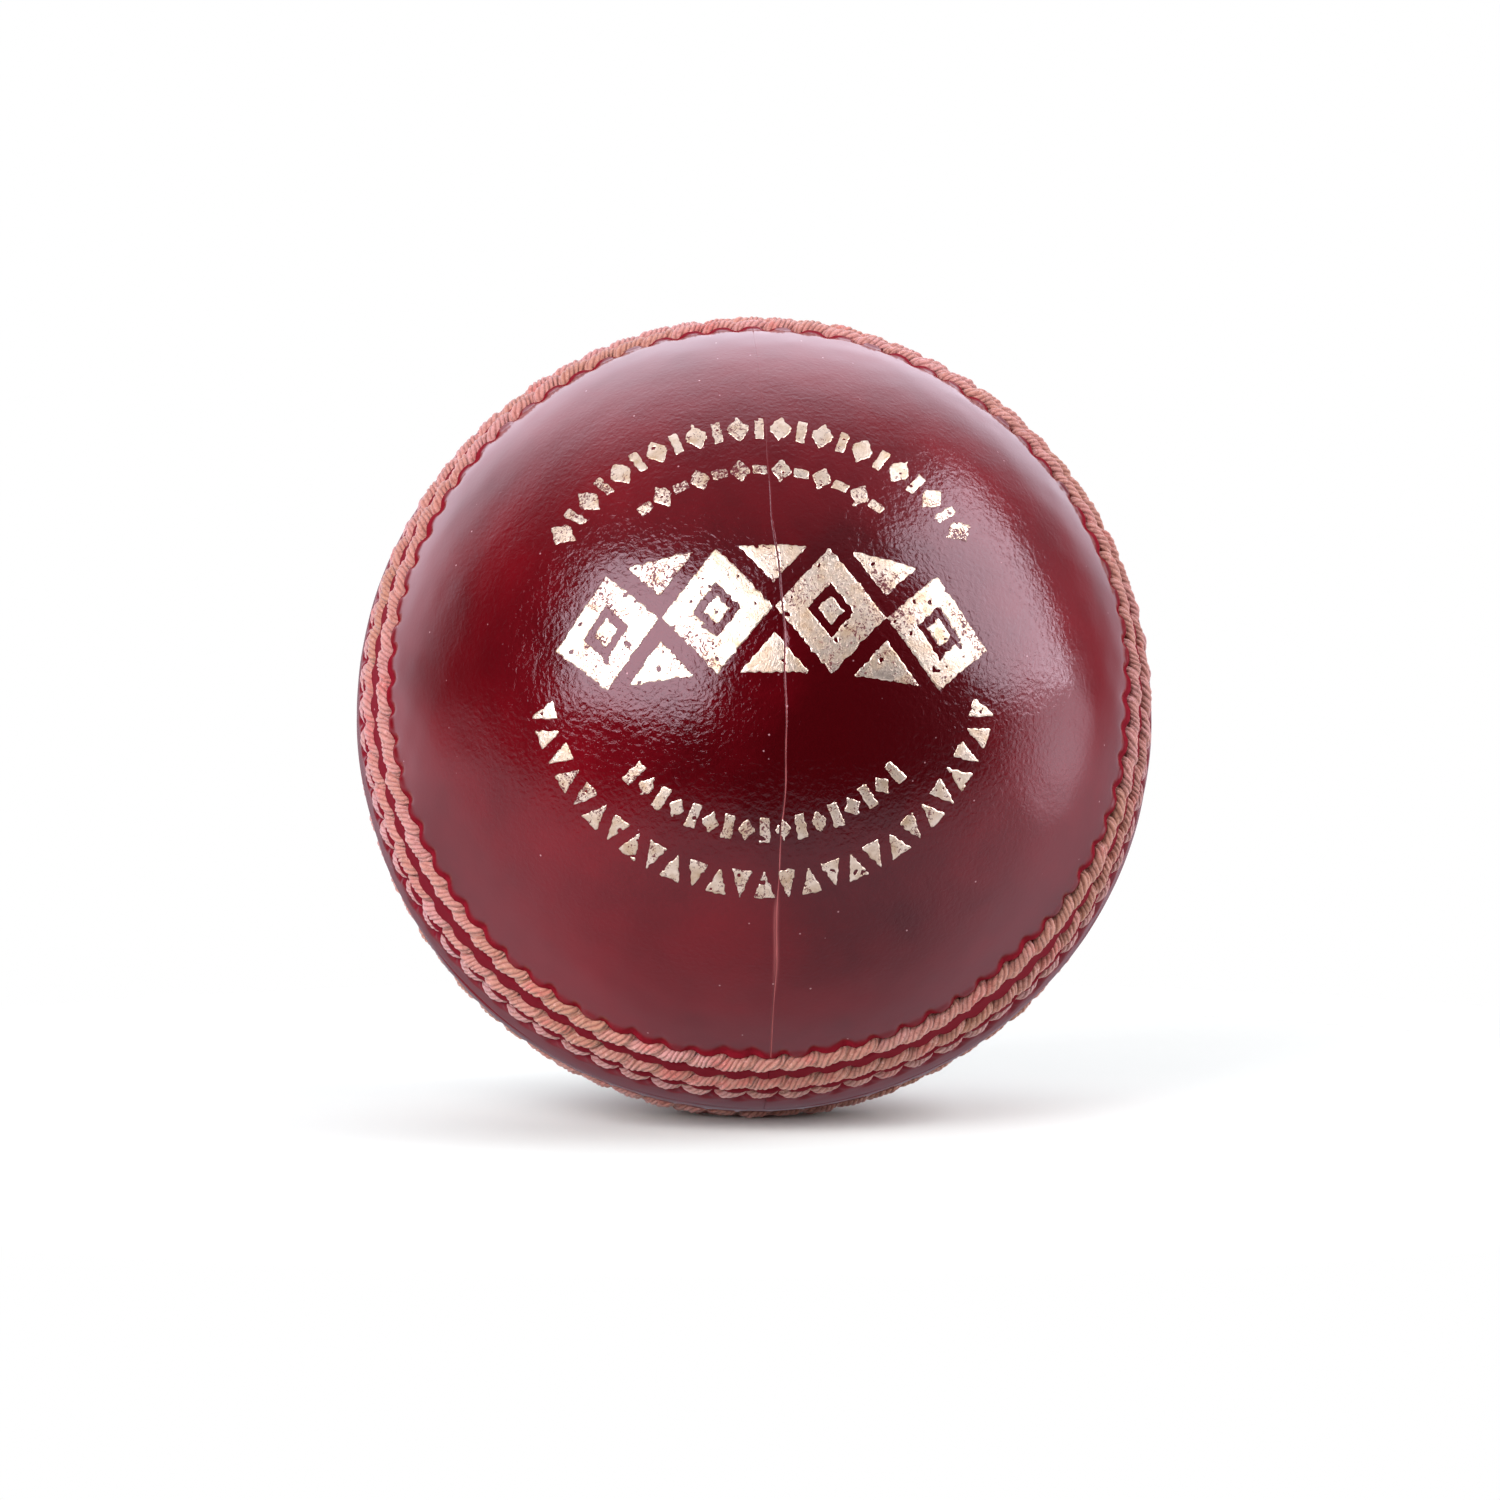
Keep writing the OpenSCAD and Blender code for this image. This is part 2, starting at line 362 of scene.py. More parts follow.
def thread_material():
    """Thick waxed thread: strands lighter along their tops with painted shade in the valleys between
    them, painted pale glints, fine fibres, tint that drifts by stitch.
    """
    material, n, shader, coord = new_material("seam_thread")
    uv = n.add("ShaderNodeUVMap", uv_map="thread").outputs["UV"]
    tint = n.attribute("tint")
    valley = n.attribute("valley")
    colour = n.ramp(tint, (0.0, TAN), (0.45, SALMON), (0.8, PINK), (1.0, PALE_PINK))
    patch = n.noise(coord, 900, 2, 0.6)
    colour = n.mix(n.ramp(patch, (0.40, 0.0), (0.75, 0.5)), colour, TAN)
    stain = n.noise(coord, 330, 2, 0.5)
    colour = n.mix(n.ramp(stain, (0.57, 0.0), (0.70, 0.7)), colour, STAIN_RED)
    stretch = n.add("ShaderNodeMapping")
    n.link(uv, stretch.inputs["Vector"])
    stretch.inputs["Scale"].default_value = (30, 3, 1)
    fibre = n.noise(stretch.outputs[0], 4.0, 3, 0.7)
    colour = n.mix(n.ramp(fibre, (0.35, 0.50), (0.7, 0.0)), colour, FIBRE_BROWN)
    # Painted shade in the valleys between strands.
    colour = n.mix(n.ramp(valley, (0.15, 0.0), (0.90, 0.60)), colour, VALLEY_SHADE_BROWN)
    fray_and_glint = n.noise(coord, 2600, 3, 0.75)
    colour = n.mix(n.ramp(fray_and_glint, (0.34, 0.65), (0.46, 0.0)), colour, FRAY_DARK)
    # Pale specks: painted glints on the fibres, a painted highlight; the dark specks above are the
    # thread's own.
    colour = n.mix(n.ramp(fray_and_glint, (0.58, 0.0), (0.75, 0.6)), colour, FIBRE_GLINT)
    n.link(colour, shader.inputs["Base Color"])
    n.link(n.bump(fibre, 0.00006), shader.inputs["Normal"])
    shader.inputs["Roughness"].default_value = 0.8
    shader.inputs["Sheen Weight"].default_value = 0.40
    shader.inputs["Sheen Roughness"].default_value = 0.5
    shader.inputs["Specular IOR Level"].default_value = 0.25
    return material


def plain_fibre_material(name, light, dark, scale, stretch):
    """Yarn or cloth: fine lines of fibre in two tones."""
    material, n, shader, coord = new_material(name)
    lines = n.add("ShaderNodeMapping")
    n.link(coord, lines.inputs["Vector"])
    lines.inputs["Scale"].default_value = stretch
    fibre = n.noise(lines.outputs[0], scale, 3, 0.6, 0.4)
    n.link(n.ramp(fibre, (0.35, dark), (0.65, light)), shader.inputs["Base Color"])
    n.link(n.bump(fibre, 0.0002), shader.inputs["Normal"])
    shader.inputs["Roughness"].default_value = 0.9
    shader.inputs["Sheen Weight"].default_value = 0.3
    return material


def cork_material(name, light, dark, scale):
    """Pressed cork: angular granules in several tones with dark pits between them."""
    material, n, shader, coord = new_material(name)
    cells = n.add("ShaderNodeTexVoronoi")
    n.link(coord, cells.inputs["Vector"])
    cells.inputs["Scale"].default_value = scale
    tone = n.add("ShaderNodeSeparateColor")
    n.link(cells.outputs["Color"], tone.inputs[0])
    colour = n.ramp(tone.outputs[0], (0.0, dark), (0.4, light), (1.0, light))
    pits = n.noise(coord, scale * 3, 2, 0.6)
    colour = n.mix(n.ramp(pits, (0.28, 0.9), (0.40, 0.0)), colour, PIT_BROWN)
    n.link(colour, shader.inputs["Base Color"])
    n.link(n.bump(pits, 0.0003), shader.inputs["Normal"])
    shader.inputs["Roughness"].default_value = 0.85
    return material


def floor_material():
    """White paper that fades away round the ball into the white surroundings."""
    material, n, shader, coord = new_material("floor")
    tone = n.noise(coord, 30, 2, 0.5)
    paper = n.ramp(tone, (0.0, PAPER_DIM), (1.0, PAPER_BRIGHT))
    n.link(paper, shader.inputs["Base Color"])
    shader.inputs["Roughness"].default_value = 0.7
    shader.inputs["Specular IOR Level"].default_value = 0.1
    reach = n.add("ShaderNodeVectorMath", operation="LENGTH")
    n.link(coord, reach.inputs[0])
    n.link(n.ramp(reach.outputs["Value"], (0.045, 1.0), (0.125, 0.0)), shader.inputs["Alpha"])
    return material


# ---- leather quarters ----

# The stretch of the quarter seam that is puckered, in millimetres below the pole.
FLAW_START, FLAW_END = 21.5, 29.5

# How far the stitch rows stray by hand, in degrees.
ROW_STRAY = 0.22

# Along a row, in pitches from the middle of a stitch.
SCALLOP_AT = 0.70
HOLE_AT = 0.66
RAW_AT = 0.62

# Across a row, in millimetres.
WALL_W = 0.45
LIP_OUT, LIP_W = 0.50, 0.42
LIP_H, OUTER_LIP_H = 0.04, 0.18
HOLE_OUT, HOLE_LENGTH, HOLE_W = 0.88, 0.46, 0.40
THREAD_HOLE_OUT, THREAD_HOLE_LENGTH, THREAD_HOLE_W = 0.72, 0.24, 0.20
HOLE_SLANT = 0.35
RAW_OUT = 0.36
SCALLOP, OUTER_SCALLOP, JOINT_SCALLOP = 0.22, 0.34, 0.16

# The open quarter seam, the pucker in it and the joint of the cups, in millimetres.
SEAM_GAP_W, SEAM_GAP_DEPTH = 0.055, 0.07
FLAW_W, FLAW_H = 0.20, 0.05
JOINT_W, JOINT_DEPTH = 0.12, 0.03

# How near the quarter seam the mesh bends along with it, in millimetres.
WANDER_REACH = 5.0

FACES_PER_STITCH = 16


def seam_wander(y):
    """How far a quarter seam strays from its plane, in millimetres, by the place along it."""
    bow = 0.1 - 0.012 * y + 1.2 * bell(y + 4, 16)
    return bow + 0.08 * np.sin(y / 2.6) + 0.05 * np.sin(y / 1.1 + 1.0)


def seam_offset(p):
    """How far points, in millimetres, are from the quarter seam."""
    return p[:, 0] - seam_wander(p[:, 1])


def seam_flaw(p, width):
    """Where the quarter seam is puckered: a short stretch of it between the pole and the rows."""
    y = p[:, 1]
    return bell(seam_offset(p), width) * smooth((-y - FLAW_START) / 1.5) * smooth((FLAW_END + y) / 3)


def row_lat(lon, row, cup):
    """The angle from the joint of a stitch row, which strays a little by hand."""
    seed = 11 + ROW_NUMBER[row] + 10 * CUP_NUMBER[cup]
    return ROW_ANGLES[row] + ROW_STRAY * ring_noise(lon, 2, 9, seed)


def wave(phase, at):
    """A wave of one pitch, highest where phase is at."""
    return np.cos(2 * np.pi * (phase - at))


def stitch_channel(arc, lon, row, cup, ragged, drift):
    """A row's channel and needle holes: how far the lips rise, the drop, how bare and how dark
    (painted shade in the thread holes), how raw.
    """
    outer = row == "outer"
    half_w, depth = CHANNEL_HALF_W[row], CHANNEL_DEPTH[row]
    across = arc - np.radians(row_lat(lon, row, cup)) * LEATHER_R
    phase = lon / STEP - np.round(lon / STEP)
    near_pole = half_w + (OUTER_SCALLOP if outer else SCALLOP) * wave(phase, SCALLOP_AT)
    near_pole = near_pole + (ragged if outer else 0)
    near_joint = half_w + JOINT_SCALLOP * wave(phase, -SCALLOP_AT)
    edge = np.where(across > 0, near_pole, near_joint)
    inside = smooth((edge - np.abs(across)) / WALL_W + 0.4)
    lip = bell(np.abs(across) - half_w - LIP_OUT, LIP_W)
    rise = np.where(across > 0, OUTER_LIP_H if outer else LIP_H, LIP_H) * lip
    drop = depth * inside
    groove = (0.66 if outer else 0.70) * inside
    raw = np.zeros(len(arc))
    pitch = np.radians(STEP) * LEATHER_R * np.cos(np.radians(ROW_ANGLES[row]))
    for side in (1, -1):
        hole = phase - side * HOLE_AT
        hole = (hole - np.round(hole)) * pitch
        slanted = hole - HOLE_SLANT * side * (side * across - 0.85)
        pit = bell(slanted, HOLE_LENGTH) * bell(across - side * HOLE_OUT, HOLE_W)
        if outer and side > 0:
            drop = np.maximum(drop, (depth + 0.04) * pit)
            raw = np.maximum(raw, 0.7 * bell(across - 0.95, 0.45) * bell(hole, 0.8))
        else:
            drop = np.maximum(drop, (depth + 0.14) * pit)
            groove = np.maximum(groove, 0.62 * pit)
        # Where the thread goes in, the groove reaches one and the leather is painted dark brown:
        # painted shade.
        mouth = bell(hole, THREAD_HOLE_LENGTH) * bell(across - side * THREAD_HOLE_OUT, THREAD_HOLE_W)
        groove = np.maximum(groove, mouth)
    if outer:
        near_tip = 0.5 + 0.5 * wave(phase, RAW_AT)
        middle = half_w + RAW_OUT + 0.16 * near_tip + 0.5 * ragged + 0.05 * drift
        width = 0.52 + 0.34 * near_tip + 0.14 * drift
        line = bell(across - middle, width) * (across > 0)
        raw = np.maximum(raw, line * np.clip(0.50 + 0.35 * near_tip + 0.22 * drift, 0.2, 1))
        drop = np.maximum(drop, 0.42 * near_tip**2 * line)
    return rise, drop, groove, raw


def surface(d, cup):
    """Radius in millimetres of the leather at unit directions d, how far in a groove, how raw."""
    lat, lon = height_and_turn(d)
    p = d * LEATHER_R
    arc = np.radians(lat) * LEATHER_R
    seed = 100 * (1 + CUP_NUMBER[cup])
    r = LEATHER_R + SEAM_RISE * (0.5 + 0.5 * np.cos(np.pi * np.clip(lat / SEAM_HALF_ANGLE, 0, 1)))
    r += 0.035 * waves(p, 9, 22, seed) + 0.008 * waves(p, 2.5, 6, seed + 1)
    ragged = 0.07 * ring_noise(lon, 60, 260, seed + 5)
    drift = ring_noise(lon, 3, 30, seed + 6)
    drop, groove, raw = np.zeros((3, len(d)))
    for row in ROW_ANGLES:
        lips, row_drop, row_groove, row_raw = stitch_channel(arc, lon, row, cup, ragged, drift)
        r += lips
        drop = np.maximum(drop, row_drop)
        groove = np.maximum(groove, row_groove)
        raw = np.maximum(raw, row_raw)
    r -= drop
    joint = bell(arc, JOINT_W)
    r -= JOINT_DEPTH * joint
    groove = np.maximum(groove, 0.15 * joint)
    off = seam_offset(p)
    open_seam = 0.25 + 0.75 * smooth((20 - p[:, 1]) / 12)
    r += open_seam * (-SEAM_GAP_DEPTH * bell(off, SEAM_GAP_W) + 0.006 * bell(off - 0.22, 0.16))
    r += FLAW_H * seam_flaw(p, FLAW_W) * (1 + 0.4 * np.sin(p[:, 1] * 4.0))
    return r, groove, raw


def soft_patch(p, x, y, radius, squash=1.0):
    """A patch round x, y of a cup seen from its pole. With squash below one it is taller."""
    return bell(np.hypot(p[:, 0] - x, squash * (p[:, 1] - y)), radius)


def marks(d):
    """How pale along the quarter seam (a painted highlight, and scuffs), how bright (dye, with painted
    shade and light), how pebbled and how bare the leather is at unit directions.
    """
    p = d * LEATHER_R
    y = p[:, 1]
    lat = height_and_turn(d)[0]
    arc = np.radians(lat) * LEATHER_R
    along = 0.55 + 0.45 * np.tanh((-y - 2) / 8)
    broken = 0.80 + 0.20 * np.sin(y * 1.9 + 0.6 * np.sin(y * 0.7))
    # The hairline of the quarter seam is painted pale, a painted highlight; the puckered stretch is
    # scuffed.
    hair = 0.82 * broken * along * bell(seam_offset(p) - 0.02, 0.05) * smooth((arc - 12.3) / 0.6)
    seam_glint_and_scuff = np.clip(np.maximum(hair, 0.55 * seam_flaw(p, 0.16)), 0, 1)
    # Painted shade and light: darker round the middle of the cup and in three soft patches, lighter
    # toward the rims; the waves are the dye's own uneven tone.
    dye_and_painted_shade = 0.55 - 0.55 * soft_patch(p, 6, -2, 20) - 0.18 * soft_patch(p, 6, -20, 12)
    dye_and_painted_shade = dye_and_painted_shade - 0.44 * soft_patch(p, -17, 4, 12, squash=0.8) + 0.06 * waves(p, 12, 40, 61)
    dye_and_painted_shade = dye_and_painted_shade - 0.20 * soft_patch(p, 11, 18, 11)
    pebbled = 0.12 + 0.88 * smooth((lat - 27) / 24)
    between_rows = smooth((arc - 4.9) / 0.5) * smooth((11.9 - arc) / 0.7)
    crest = 0.42 * smooth((4.2 - arc) / 1.0)
    return seam_glint_and_scuff, dye_and_painted_shade, pebbled, np.maximum(between_rows, crest)


def quarter_directions(columns, rows, side):
    """Unit directions over a quarter's outside, from seam to seam and joint to pole."""
    lon, lat = np.meshgrid(columns, rows, indexing="ij")
    d = direction(lon if side > 0 else 180 - lon, lat)
    reach = np.exp(-np.radians(90 - np.abs(lon)) * np.cos(np.radians(lat)) * LEATHER_R / WANDER_REACH)
    d[..., 0] += reach * seam_wander(d[..., 1] * LEATHER_R) / LEATHER_R
    return unit(d)


def zip_strip(a, b):
    """Triangles between two lines of vertex numbers with different counts."""
    i = j = 0
    faces = []
    while i < len(a) - 1 or j < len(b) - 1:
        if j == len(b) - 1 or (i < len(a) - 1 and (i + 1) / (len(a) - 1) <= (j + 1) / (len(b) - 1)):
            faces.append((a[i], a[i + 1], b[j]))
            i += 1
        else:
            faces.append((a[i], b[j + 1], b[j]))
            j += 1
    return np.array(faces)


def thinned(values, steps):
    """Values at about so many even steps, with the last one kept."""
    few = values[:: (len(values) - 1) // steps]
    return few if few[-1] == values[-1] else np.append(few, values[-1])


def grid_faces(n, m, start=0, flip=False):
    """Quads over n by m vertices numbered by column and then row."""
    at = start + np.arange(n * m).reshape(n, m)
    a, b, c, d = at[:-1, :-1], at[1:, :-1], at[1:, 1:], at[:-1, 1:]
    quads = np.stack([a, b, c, d] if not flip else [d, c, b, a], -1)
    return quads.reshape(-1, 4)


def quarter(name, cup, side, node, material):
    """One leather quarter, on the cup's +X side or mirrored to its -X side."""
    # Columns lie closer together beside the quarter seam, rows in the band of the stitches.
    fine = np.linspace(-90, 90, STITCHES // 2 * FACES_PER_STITCH + 1)
    edge = 90 - np.array([0.0, 0.07, 0.14, 0.21])
    columns = np.sort(np.concatenate([fine[np.abs(fine) < 89.75], edge, -edge]))
    band_end = SEAM_HALF_ANGLE + 2
    band = np.linspace(0, band_end, 92)
    cap = band_end + (89.7 - band_end) * np.linspace(0, 1, 62)[1:] ** 1.1
    rows = np.concatenate([[0.0, 0.06, 0.14], band[1:], cap])
    d = quarter_directions(columns, rows, side)
    n, m = d.shape[:2]
    flat = d.reshape(-1, 3)
    r, groove, raw = surface(flat, cup)
    outside = flat * r[:, None]
    outside[:, 2] = np.maximum(outside[:, 2], FIT)
    pole = unit(np.array([[seam_wander(0.0), 0, LEATHER_R]]))
    pole_r, pole_groove, pole_raw = surface(pole, cup)
    inner_r = LEATHER_R - LEATHER_T
    sparse_columns, sparse_rows = thinned(columns, 36), thinned(rows, 24)
    lon, lat = np.meshgrid(sparse_columns, sparse_rows, indexing="ij")
    inside = direction(lon if side > 0 else 180 - lon, lat)
    k, q = inside.shape[:2]
    inside = inside.reshape(-1, 3) * inner_r
    inside[:, 2] = np.maximum(inside[:, 2], FIT)
    points = np.concatenate([outside, pole * pole_r, inside, [[0, 0, inner_r]]])
    groove = np.concatenate([groove, pole_groove, np.full(len(inside) + 1, 0.6)])
    raw = np.concatenate([raw, pole_raw, np.zeros(len(inside) + 1)])
    top, inner = n * m, n * m + 1
    inner_top = inner + k * q
    out_at = np.arange(n * m).reshape(n, m)
    in_at = inner + np.arange(k * q).reshape(k, q)
    fan = np.stack([out_at[:-1, -1], out_at[1:, -1], np.full(n - 1, top)], -1)
    in_fan = np.stack([in_at[1:, -1], in_at[:-1, -1], np.full(k - 1, inner_top)], -1)
    walls = [
        zip_strip(out_at[:, 0], in_at[:, 0])[:, ::-1],
        zip_strip(np.append(out_at[0], top), np.append(in_at[0], inner_top)),
        zip_strip(np.append(out_at[-1], top), np.append(in_at[-1], inner_top))[:, ::-1],
    ]
    quads = np.concatenate([grid_faces(n, m), grid_faces(k, q, inner, flip=True)])
    tris = np.concatenate([fan, in_fan, *walls])
    if side < 0:
        quads, tris = quads[:, ::-1], tris[:, ::-1]
    seam_glint_and_scuff, dye_and_painted_shade, pebbled, bare = marks(unit(points))
    layers = {
        "groove": groove,
        "raw": raw,
        "seam_glint_and_scuff": seam_glint_and_scuff,
        "dye_and_painted_shade": dye_and_painted_shade,
        "pebbled": pebbled,
        "bare": bare,
    }
    obj = make_mesh(name, to_world(points, cup), [quads, tris], material, layers)
    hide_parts(node)
    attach(obj, "root")


# ---- seam stitches ----

STRANDS = 6
PER_STRAND = 6
AROUND, ALONG = STRANDS * PER_STRAND, 26
TWIST = 1.9
STITCH_REACH, STITCH_LEAN, STITCH_DIP = 1.98, 0.54, 0.03
PRESSED_REACH, PRESSED_LEAN, PRESSED_DIP = 1.62, 0.26, 0.38
PRESSED_THREAD = 0.90

# How far the back rows are raised where they face straight down, in millimetres.
BACK_RISE = 0.20


def stitch_shape(rng, thickness, pressed):
    """One stitch in its own place: u along the row, v toward the pole, w outward, in millimetres.

    Its tail starts under the stitch before it and its tip dives into the leather. A pressed
    stitch is shorter and lies flatter in its channel.
    """
    t = np.linspace(-1, 1, ALONG)
    tail, tip = np.maximum(-t, 0), np.maximum(t, 0)
    psi = np.linspace(0, 2 * np.pi, AROUND, endpoint=False)
    reach = (PRESSED_REACH if pressed else STITCH_REACH) * rng.uniform(0.95, 1.05)
    lean = (PRESSED_LEAN if pressed else STITCH_LEAN) + rng.normal(0, 0.06)
    dip = PRESSED_DIP if pressed else STITCH_DIP
    centre = np.stack([
        reach * t,
        lean * np.sin(1.25 * t) / math.sin(1.25) + rng.normal(0, 0.04) * (1 - t**2),
        -0.14 * tail**2 - 0.80 * tail**3.4 - 0.05 * tip**2 - 0.90 * tip**7 - dip * t**2,
    ], -1)
    along = unit(np.gradient(centre, axis=0))
    across = unit(np.cross([0, 0, 1.0], along))
    out = np.cross(along, across)
    distance = np.concatenate([[0], np.cumsum(np.linalg.norm(np.diff(centre, axis=0), axis=1))])
    size = thickness * rng.uniform(0.97, 1.10) * (1 - 0.52 * tail**2.2 - 0.35 * tip**6)
    size = size * (1 + 0.05 * np.sin(distance * rng.uniform(1.5, 3.0) + rng.uniform(0, 6.3)))
    twist = TWIST * rng.uniform(0.80, 1.10)
    wobble = 0.25 * np.sin(distance * rng.uniform(1.2, 2.4) + rng.uniform(0, 6.3))
    theta = psi[None] + (twist * distance + wobble)[:, None] + rng.uniform(0, 2 * np.pi)
    own = 1 + 0.22 * np.repeat(rng.normal(size=STRANDS), PER_STRAND)
    ridge = np.abs(np.sin(STRANDS * psi / 2)) ** 0.8 * np.ones((ALONG, 1))
    fluff = rng.normal(size=(ALONG, AROUND)) * 0.012
    radius = size[:, None] * (0.81 + 0.19 * ridge * own[None] + fluff)
    points = (
        centre[:, None]
        + across[:, None] * (radius * np.sin(theta) * 1.05)[..., None]
        + out[:, None] * (radius * np.cos(theta))[..., None]
    )
    uv = np.stack([np.broadcast_to(psi / (2 * np.pi), radius.shape),
                   np.broadcast_to(distance[:, None], radius.shape)], -1)
    points = np.concatenate([points.reshape(-1, 3), centre[[0, -1]]])
    valley = np.concatenate([(1 - ridge).ravel(), [0.5, 0.5]])
    uv = np.concatenate([uv.reshape(-1, 2), [[0, distance[0]], [0, distance[-1]]]])
    return points, valley, uv


def stitch_faces():
    """Quads of one stitch, and the triangles that close its two ends."""
    at = np.arange(ALONG * AROUND).reshape(ALONG, AROUND)
    side = np.roll(at, -1, axis=1)
    quads = np.stack([at[:-1], at[1:], side[1:], side[:-1]], -1).reshape(-1, 4)
    ends = np.arange(2) + ALONG * AROUND
    first = np.stack([at[0], side[0], np.full(AROUND, ends[0])], -1)
    last = np.stack([side[-1], at[-1], np.full(AROUND, ends[1])], -1)
    return quads, np.concatenate([first, last])


def stitch_row(name, cup, row, node, material):
    """A row of twisted stitches round a cup."""
    seed = 1000 + 7 * ROW_NUMBER[row] + 50 * CUP_NUMBER[cup]
    rng = np.random.default_rng(seed)
    verts, valleys, uvs, tints, quads, caps = [], [], [], [], [], []
    one_quads, one_caps = stitch_faces()
    pressed = (cup, row) == ("front", "inner")
    for i in range(STITCHES):
        lon = i * STEP + rng.normal(0, 0.15)
        lat = row_lat(lon, row, cup) + rng.normal(0, 0.12)
        w = direction(lon, float(lat))
        u = unit(np.array([-w[1], w[0], 0.0]))
        v = np.cross(w, u)
        thickness = THREAD_R[row] * (PRESSED_THREAD if pressed else 1)
        points, valley, uv = stitch_shape(rng, thickness, pressed)
        below = max(0.0, -float((w @ CUPS[cup])[2]))
        ring_r = LEATHER_R + SEAT[row] + (0.0 if cup == "front" else BACK_RISE * below**6)
        curve = (points[:, 0] ** 2 + points[:, 1] ** 2) / (2 * ring_r)
        rise = ring_r + points[:, 2] - curve + rng.normal(0, 0.03)
        placed = u * points[:, :1] + v * points[:, 1:2] + w * rise[:, None]
        quads.append(one_quads + i * len(points))
        caps.append(one_caps + i * len(points))
        verts.append(placed)
        valleys.append(valley)
        uvs.append(uv + [0, 7.3 * i])
        tint = np.clip(0.42 + 0.16 * ring_noise(lon, 3, 11, seed + 1) + rng.normal(0, 0.10), 0, 0.8)
        if pressed:
            tint = 0.85 + 0.15 * tint
        tints.append(np.full(len(points), tint))
    obj = make_mesh(
        name,
        to_world(np.concatenate(verts), cup),
        [np.concatenate(quads), np.concatenate(caps)],
        material,
        {"valley": np.concatenate(valleys), "tint": np.concatenate(tints)},
        np.concatenate(uvs),
    )
    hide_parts(node)
    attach(obj, "root")


# ---- gold foil ----

FOIL_CELL = 0.11
FOIL_LIFT = 0.018
FOIL_SKIRT = 0.06
FOIL_HALF_W = 26.0
MARKS_AT = (-0.56, -0.87)

# Arcs of small marks round the pole: radius, first and last angle clockwise from up, how many.
UPPER_ARC = (22.8, -56, 56, 23)
SECOND_ARC = (17.8, -37, 37, 13)
LOWER_ARC = (16.2, 132, 228, 17)
TEETH_ARC = (21.4, 103, 257, 27)

# The band of four large diamonds, in millimetres.
BAND_X, BAND_Y, BAND_HALF_H = 0.9, 3.9, 5.9
BAND_PITCH = 10.2


def diamond(u, v, half_w, half_h):
    """About the distance from the edge of a diamond, below zero inside."""
    return (np.abs(u) / half_w + np.abs(v) / half_h - 1) * min(half_w, half_h) * 0.7


def bar(u, v, half_w, half_h):
    """The distance from the edge of a bar, below zero inside."""
    return np.maximum(np.abs(u) - half_w, np.abs(v) - half_h)


def arc_of(x, y, radius, first, last, count):
    """The nearest of several places on an arc, clockwise from up: its number, and u, v from it."""
    rho, phi = np.hypot(x, y), np.degrees(np.arctan2(x, y))
    phi = np.where(phi < first - 30, phi + 360, phi)
    gap = (last - first) / (count - 1)
    k = np.clip(np.round((phi - first) / gap), 0, count - 1)
    return k, np.radians(phi - first - k * gap) * radius, rho - radius


def nearest(x, count):
    """How far x is, sideways, from the nearest of so many places a band's pitch apart."""
    end = BAND_PITCH * (count - 1) / 2
    return x + end - BAND_PITCH * np.clip(np.round((x + end) / BAND_PITCH), 0, count - 1)


def foil_band(x, y):
    """Four large diamonds in a bowed row, each with a heart, and half diamonds between them."""
    bow = ((x - BAND_X) / 20) ** 2
    tall = BAND_HALF_H - 0.8 * bow
    v = y - (BAND_Y - 2.9 * bow)
    u = nearest(x - BAND_X, 4)
    ring = np.maximum(diamond(u, v * BAND_HALF_H / tall, 5.0, BAND_HALF_H), -diamond(u, v, 2.15, 2.55))
    heart = diamond(u, v, 1.15, 1.4)
    up = np.abs(v) - tall
    wedge = np.maximum(diamond(nearest(x - BAND_X, 3), up, 3.1, 3.6), up)
    return np.minimum.reduce([ring, heart, wedge])


def foil_shape(x, y):
    """Distance in millimetres from the printed marks, below zero inside, at places round the pole."""
    x, y = x - MARKS_AT[0], y - MARKS_AT[1]
    k, u, v = arc_of(x, y, *UPPER_ARC)
    upper = np.where(k % 2 == 0, diamond(u, v, 1.2, 1.6), bar(u, v, 0.42, 1.3))
    k, u, v = arc_of(x, y, *SECOND_ARC)
    second = np.where(k % 2 == 0, bar(u, v, 0.72, 0.48), diamond(u, v, 1.0, 1.3))
    k, u, v = arc_of(x, y, *LOWER_ARC)
    lower = np.where(k % 2 == 0, bar(u, v, 0.46, 1.15), diamond(u, v, 0.80, 1.0))
    k, u, v = arc_of(x, y, *TEETH_ARC)
    flip = np.where(k % 2 == 0, 1.0, -1.0)
    teeth = np.maximum(np.abs(u) - 0.36 * (1.35 - flip * v), np.abs(v) - 1.3)
    return np.minimum.reduce([upper, second, foil_band(x, y), lower, teeth])


def worn_field(x, y):
    """foil_shape with ragged edges, worn holes and a gap along the quarter seam."""
    flat = np.stack([x, y, 0 * x], -1).reshape(-1, 3)
    rough = 0.04 * waves(flat, 0.35, 1.2, 501, 48).reshape(x.shape)
    wear = 0.16 * (waves(flat, 0.45, 1.8, 502, 60).reshape(x.shape) - 1.95)
    off = 0.09 - np.abs(x - seam_wander(y))
    return np.maximum.reduce([foil_shape(x, y) + rough, wear, off])


